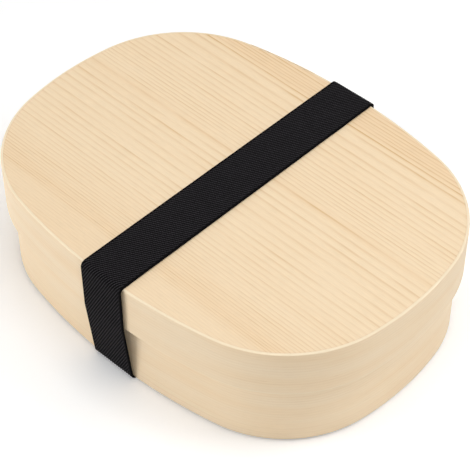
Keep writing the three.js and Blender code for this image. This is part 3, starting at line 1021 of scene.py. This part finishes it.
# Tape woven along a line in the YZ plane: a thin ground with a rolled cord at each selvedge, and ribs that
# slant across it. Each rib is a cord through the ground, so it shows on both faces. It has points only where
# the tape bends.
def tapeTree():
    add, start, end = groupTree("twillTape", {"Float": [
        "Width", "Thickness", "Ground Share", "Selvedge", "Rib Pitch Along", "Rib Slope", "Rib Width",
        "Rib Height", "Skew", "Middle"]})
    onPoints = {"data_type": "FLOAT", "domain": "POINT"}
    run, runBefore, runAfter, ribStart, crossing, bend = [
        add("GeometryNodeInputNamedAttribute", {"data_type": "FLOAT"}, {"Name": name})
        for name in ("run", "runBefore", "runAfter", "ribStart", "across", "bend")]
    outward = add("GeometryNodeInputNamedAttribute", {"data_type": "FLOAT_VECTOR"}, {"Name": "outward"})
    here = add("ShaderNodeSeparateXYZ", {}, [add("GeometryNodeInputPosition")])
    index = add("GeometryNodeInputIndex")
    halfWidth, halfThickness, halfRibWidth, halfRibHeight = [
        add("ShaderNodeMath", times, [start.outputs[name], 0.5])
        for name in ("Width", "Thickness", "Rib Width", "Rib Height")]

    # the course with rounded bends, where each point knows how far along it lies
    line = add("GeometryNodeMeshToCurve", {}, [start.outputs["Geometry"]])
    bent = add("GeometryNodeFilletCurve", {"mode": "POLY"}, {
        "Curve": line, "Count": tape["bendSteps"], "Radius": bend, "Limit Radius": True})
    length = add("GeometryNodeCurveLength", {}, [bent])
    measured = add("GeometryNodeStoreNamedAttribute", onPoints, {
        "Geometry": bent, "Name": "run", "Value": add("GeometryNodeSplineParameter").outputs["Length"]})

    # the ground's section: a circle pulled out to a flat tape that is thickest in its selvedges
    def squared(value):
        distance = add("ShaderNodeMath", unsigned, [value])
        power = add("ShaderNodeMath", {"operation": "POWER"}, [distance, tape["roundPower"]])
        sign = add("ShaderNodeMath", {"operation": "SIGN"}, [value])
        return add("ShaderNodeMath", times, [sign, power])

    across = add("ShaderNodeMath", times, [squared(here.outputs["X"]), halfWidth])
    fromMiddle = add("ShaderNodeMath", unsigned, [across])
    toSelvedge = add("ShaderNodeMath", minus, [halfWidth, fromMiddle])
    cord = add("ShaderNodeMath", times, [start.outputs["Selvedge"], tape["cordShare"]])
    swell = add("ShaderNodeMapRange", {"interpolation_type": "SMOOTHSTEP"}, {
        "Value": toSelvedge, "From Min": cord, "From Max": start.outputs["Selvedge"], "To Min": 1.0,
        "To Max": start.outputs["Ground Share"]})
    full = add("ShaderNodeMath", times, [squared(here.outputs["Y"]), halfThickness])
    height = add("ShaderNodeMath", times, [full, swell])
    circle = add("GeometryNodeCurvePrimitiveCircle", {}, {
        "Resolution": tape["sectionPoints"], "Radius": 1.0})
    marked = add("GeometryNodeStoreNamedAttribute", onPoints, {
        "Geometry": circle, "Name": "across", "Value": across})
    sectionPlace = add("ShaderNodeCombineXYZ", {}, {"X": across, "Y": height})
    section = add("GeometryNodeSetPosition", {}, {"Geometry": marked, "Position": sectionPlace})
    level = add("GeometryNodeSetCurveNormal", {"mode": "FREE"}, {"Curve": measured, "Normal": (1, 0, 0)})
    ground = add("GeometryNodeCurveToMesh", {}, {
        "Curve": level, "Profile Curve": section, "Fill Caps": True})

    # every rib starts as a copy of the whole course and keeps the points within its reach
    course = measured
    for name, step in (("runBefore", -1), ("runAfter", 1)):
        beside = add("ShaderNodeMath", plus, [index, step])
        runThere = add("GeometryNodeSampleIndex", {"data_type": "FLOAT", "clamp": True}, {
            "Geometry": measured, "Value": run, "Index": beside})
        course = add("GeometryNodeStoreNamedAttribute", onPoints, {
            "Geometry": course, "Name": name, "Value": runThere})
    ribHalf = add("ShaderNodeMath", minus, [halfWidth, cord])
    lean = add("ShaderNodeMath", times, [ribHalf, start.outputs["Rib Slope"]])
    reach = add("ShaderNodeMath", unsigned, [lean])
    covered = add("ShaderNodeMath", timesPlus, [reach, 2.0, length])
    ribCount = add("ShaderNodeMath", over, [covered, start.outputs["Rib Pitch Along"]])
    ribPlaces = add("GeometryNodeMeshLine", {"mode": "OFFSET"}, {"Count": ribCount, "Offset": (0, 0, 0)})
    pitches = add("ShaderNodeMath", times, [index, start.outputs["Rib Pitch Along"]])
    firstRun = add("ShaderNodeMath", minus, [pitches, reach])
    ribPoints = add("GeometryNodeStoreNamedAttribute", onPoints, {
        "Geometry": ribPlaces, "Name": "ribStart", "Value": firstRun})
    ribs = add("GeometryNodeInstanceOnPoints", {}, {"Points": ribPoints, "Instance": course})
    loose = add("GeometryNodeRealizeInstances", {}, [ribs])

    # a rib ends at the selvedges and short of the tape's ends
    cutEnd = start.outputs["Thickness"]
    lowest = add("ShaderNodeMath", minus, [ribStart, reach])
    low = add("ShaderNodeMath", larger, [lowest, cutEnd])
    highest = add("ShaderNodeMath", plus, [ribStart, reach])
    tapeEnd = add("ShaderNodeMath", minus, [length, cutEnd])
    high = add("ShaderNodeMath", smaller, [highest, tapeEnd])
    early = add("ShaderNodeMath", below, [runAfter, low])
    late = add("ShaderNodeMath", above, [runBefore, high])
    empty = add("ShaderNodeMath", above, [low, high])
    outside = add("ShaderNodeMath", larger, [early, late])
    gone = add("ShaderNodeMath", larger, [outside, empty])
    trimmed = add("GeometryNodeDeleteGeometry", {"domain": "POINT"}, {"Geometry": loose, "Selection": gone})
    atLeast = add("ShaderNodeMath", larger, [run, low])
    along = add("ShaderNodeMath", smaller, [atLeast, high])
    fromStart = add("ShaderNodeMath", minus, [along, ribStart])
    ribAcross = add("ShaderNodeMath", over, [fromStart, start.outputs["Rib Slope"]])

    # its points are laid back on the course, each as far along and across as the slant has it
    sample = add("GeometryNodeSampleCurve", {"mode": "LENGTH"}, {"Curves": measured, "Length": run})
    sideways = add("ShaderNodeVectorMath", {"operation": "CROSS_PRODUCT"}, [
        sample.outputs["Tangent"], (1, 0, 0)])
    for name, value, kind in (
            ("across", ribAcross, "FLOAT"), ("run", along, "FLOAT"), ("outward", sideways, "FLOAT_VECTOR")):
        trimmed = add("GeometryNodeStoreNamedAttribute", {"data_type": kind, "domain": "POINT"}, {
            "Geometry": trimmed, "Name": name, "Value": value})
    aside = add("ShaderNodeCombineXYZ", {}, {"X": crossing})
    landed = add("ShaderNodeVectorMath", plus, [sample.outputs["Position"], aside])
    laid = add("GeometryNodeSetPosition", {}, {"Geometry": trimmed, "Position": landed})
    upright = add("GeometryNodeSetCurveNormal", {"mode": "FREE"}, {"Curve": laid, "Normal": outward})
    ribCircle = add("GeometryNodeCurvePrimitiveCircle", {}, {
        "Resolution": tape["ribPoints"], "Radius": 1.0})
    # a mask for the painted highlight: 1 on the outward and inward faces of a rib, 0 on its sides
    crest = add("ShaderNodeMath", unsigned, [here.outputs["X"]])
    crested = add("GeometryNodeStoreNamedAttribute", onPoints, {
        "Geometry": ribCircle, "Name": "crest", "Value": crest})
    ribPlace = add("ShaderNodeCombineXYZ", {}, {
        "X": add("ShaderNodeMath", times, [here.outputs["X"], halfRibHeight]),
        "Y": add("ShaderNodeMath", times, [here.outputs["Y"], halfRibWidth])})
    ribSection = add("GeometryNodeSetPosition", {}, {"Geometry": crested, "Position": ribPlace})
    cords = add("GeometryNodeCurveToMesh", {}, {
        "Curve": upright, "Profile Curve": ribSection, "Fill Caps": True})

    joined = add("GeometryNodeJoinGeometry")
    for woven in (ground, cords):
        setInputs(joined, [woven])
    # the tape lies a little askew over the box
    shift = add("ShaderNodeMath", timesPlus, [
        here.outputs["Y"], start.outputs["Skew"], start.outputs["Middle"]])
    drift = add("ShaderNodeCombineXYZ", {}, {"X": shift})
    askew = add("GeometryNodeSetPosition", {}, {"Geometry": joined, "Offset": drift})
    return endTree(add, start, end, askew)


course = strapCourse()
strap = lineObject("elastic_strap", [(0, y, z) for y, z, _ in course])
bends = strap.data.attributes.new("bend", "FLOAT", "POINT")
for entry, (_, _, radius) in zip(bends.data, course):
    entry.value = radius
growMesh(strap, tapeTree(), {
    "Width": tape["width"], "Thickness": tape["thickness"], "Ground Share": tape["groundShare"],
    "Selvedge": tape["selvedge"], "Rib Pitch Along": tape["ribPitchAlong"],
    "Rib Slope": -1 / math.tan(math.radians(tape["ribDegrees"])), "Rib Width": tape["ribWidth"],
    "Rib Height": tape["ribHeight"], "Skew": tape["skew"], "Middle": tape["middle"], "Material": elastic})
place(strap, "strap", "elastic", "strap")
print("strap ready:", len(strap.data.polygons), "faces")


# a zigzag of thread over the lapped ends, once on the upper side and once on the lower
seam = {
    "thread": 0.32 * mm,
    "pitch": 1.8 * mm,
    "swing": 5 * mm,
    "margin": 2 * mm,
    "bend": 0.35 * mm,
    "bendSteps": 3,
    "threadPoints": 8,
    # how far the upper row's middle line lies over the tape, as a share of the thread's width
    "raisedShare": 0.2,
}


def seamTree():
    add, start, end = groupTree("zigzagSeam", {
        "Float": ["Pitch", "Swing", "Thread", "Bend"], "Int": ["Turns"], "Vector": ["First Place"]})
    step = add("ShaderNodeCombineXYZ", {}, {"X": start.outputs["Pitch"]})
    line = add("GeometryNodeMeshLine", {"mode": "OFFSET"}, {
        "Count": start.outputs["Turns"], "Start Location": start.outputs["First Place"], "Offset": step})
    index = add("GeometryNodeInputIndex")
    odd = add("ShaderNodeMath", {"operation": "MODULO"}, [index, 2])
    side = add("ShaderNodeMath", minus, [odd, 0.5])
    swing = add("ShaderNodeMath", times, [side, start.outputs["Swing"]])
    shift = add("ShaderNodeCombineXYZ", {}, {"Y": swing})
    zigzag = add("GeometryNodeSetPosition", {}, {0: line, "Offset": shift})
    curve = add("GeometryNodeMeshToCurve", {}, [zigzag])
    bent = add("GeometryNodeFilletCurve", {"mode": "POLY"}, {
        "Curve": curve, "Count": seam["bendSteps"], "Radius": start.outputs["Bend"], "Limit Radius": True})
    radius = add("ShaderNodeMath", times, [start.outputs["Thread"], 0.5])
    section = add("GeometryNodeCurvePrimitiveCircle", {}, {
        "Resolution": seam["threadPoints"], "Radius": radius})
    swept = add("GeometryNodeCurveToMesh", {}, {
        "Curve": bent, "Profile Curve": section, "Fill Caps": True})
    return endTree(add, start, end, swept)


def makeSeam():
    turns = round((tape["width"] - 2 * seam["margin"]) / seam["pitch"])
    first = tape["middle"] - turns * seam["pitch"] / 2
    upper = 2 * tape["thickness"] + tape["lapGap"] + seam["thread"] * seam["raisedShare"]
    lower = seam["thread"] / 2
    # the tree lays its own line, so the one that each row starts from isn't used
    tree = seamTree()
    for name, height in (("strap_seam_upper", upper), ("strap_seam_lower", lower)):
        row = growMesh(lineObject(name, [(0, 0, 0), (1 * mm, 0, 0)]), tree, {
            "Pitch": seam["pitch"], "Turns": turns + 1, "Swing": seam["swing"], "Thread": seam["thread"],
            "Bend": seam["bend"], "First Place": (first, 0, height), "Material": thread})
        place(row, "strap", "thread", "strap_seam")


makeSeam()
print("seam ready")


# STUDIO

studio = {
    "floorSize": 6.0,
    "floor": "#f3f3f3",
    "floorRoughness": 0.9,
    "floorSpecular": 0.1,
    "floorGlow": 0.24,
    # the lamps don't reach the far floor, so its glow rises to white between these distances from the
    # box's middle
    "whiteFrom": 0.3,
    "whiteTo": 0.6,
    "ambient": 0.02,
    "softboxSize": 0.6,
    # the height over the floor that the lamps aim at
    "aimHeight": 0.03,
    # watts, and the place that each hangs in
    "softboxes": {
        "leftLowSoftbox": (6.8, (-0.69, -0.82, 0.29)),
        "frontLowSoftbox": (3.2, (0.99, -0.46, 0.12)),
        "rightSoftbox": (1.4, (0.71, 0, 0.86)),
        "backRightSoftbox": (4.8, (0.5, 0.5, 0.86)),
        "overheadSoftbox": (5.4, (0.02, 0, 1.12)),
    },
}


# 1 for what the camera sees by itself or in a gloss
def seenNode(add, path):
    return add("ShaderNodeMath", larger, [path.outputs["Is Camera Ray"], path.outputs["Is Glossy Ray"]])


# a pale painted floor that shows white to the camera but keeps the box's soft shadow
def floorMaterial():
    material, add, shader = newMaterial("paintedFloorMatt")
    setInputs(shader, {
        "Base Color": linear(studio["floor"]), "Roughness": studio["floorRoughness"],
        "Specular IOR Level": studio["floorSpecular"]})
    where = add("ShaderNodeTexCoord")
    away = add("ShaderNodeVectorMath", {"operation": "LENGTH"}, [where.outputs["Object"]])
    strength = add("ShaderNodeMapRange", {}, {
        "Value": away.outputs["Value"],
        **ranges((studio["whiteFrom"], studio["whiteTo"]), (studio["floorGlow"], 1))})
    glow = add("ShaderNodeEmission", {}, {"Strength": strength})
    dark = add("ShaderNodeEmission", {}, {"Strength": 0})
    seen = seenNode(add, add("ShaderNodeLightPath"))
    lit = add("ShaderNodeMixShader", {}, [seen, dark, glow])
    total = add("ShaderNodeAddShader", {}, [shader, lit])
    setInputs(material.node_tree.nodes["Material Output"], [total])
    return material


def makeFloor():
    half = studio["floorSize"] / 2
    corners = [(-half, -half, 0), (half, -half, 0), (half, half, 0), (-half, half, 0)]
    mesh = bpy.data.meshes.new("studio_floor")
    mesh.from_pydata(corners, [], [(0, 1, 2, 3)])
    mesh.materials.append(floorMaterial())
    floor = addObject("studio_floor", mesh)


def makeWorld():
    world = bpy.data.worlds.new("studioWorld")
    bpy.context.scene.world = world
    world.use_nodes = True
    add = nodeAdder(world.node_tree)
    path = add("ShaderNodeLightPath")
    seen = add("ShaderNodeMath", larger, [seenNode(add, path), path.outputs["Is Transmission Ray"]])
    strength = add("ShaderNodeMapRange", {}, {"Value": seen, **ranges((0, 1), (studio["ambient"], 1))})
    setInputs(world.node_tree.nodes["Background"], {"Color": (1, 1, 1, 1), "Strength": strength})


def addSoftbox(name, power, spot):
    light = bpy.data.lights.new(name, "AREA")
    light.size = studio["softboxSize"]
    light.energy = power
    lamp = addObject(name, light)
    lamp.location = spot
    way = Vector((0, 0, studio["aimHeight"])) - Vector(spot)
    lamp.rotation_euler = way.to_track_quat("-Z", "Y").to_euler()


# the camera of the photograph: where it aims, from which side, and its lens
view = {
    "azimuth": 43.711,
    "elevation": 45.912,
    "distance": 650.491 * mm,
    "aimRight": 1.451 * mm,
    "aimUp": 13.147 * mm,
    "roll": -0.365,
    "lens": 130.659,
    "sensor": 36,
}


def makeCamera():
    azimuth, elevation = math.radians(view["azimuth"]), math.radians(view["elevation"])
    flatBack = Vector((math.sin(azimuth), -math.cos(azimuth), 0)) * math.cos(elevation)
    back = flatBack + Vector((0, 0, math.sin(elevation)))
    right = Vector((math.cos(azimuth), math.sin(azimuth), 0))
    up = back.cross(right)
    aim = right * view["aimRight"] + up * view["aimUp"] + Vector((0, 0, trayBandLow.z))
    roll = math.radians(view["roll"])
    rightRolled = right * math.cos(roll) + up * math.sin(roll)
    upRolled = up * math.cos(roll) - right * math.sin(roll)
    data = bpy.data.cameras.new("photoCamera")
    data.lens = view["lens"]
    data.sensor_width = view["sensor"]
    camera = addObject("photoCamera", data)
    turned = Matrix((rightRolled, upRolled, back)).transposed().to_4x4()
    camera.matrix_world = Matrix.Translation(aim + back * view["distance"]) @ turned
    bpy.context.scene.camera = camera


makeFloor()
makeWorld()
makeCamera()
for name, (power, spot) in studio["softboxes"].items():
    addSoftbox(name, power, spot)
bpy.context.scene.view_settings.view_transform = "Standard"
print("studio ready")
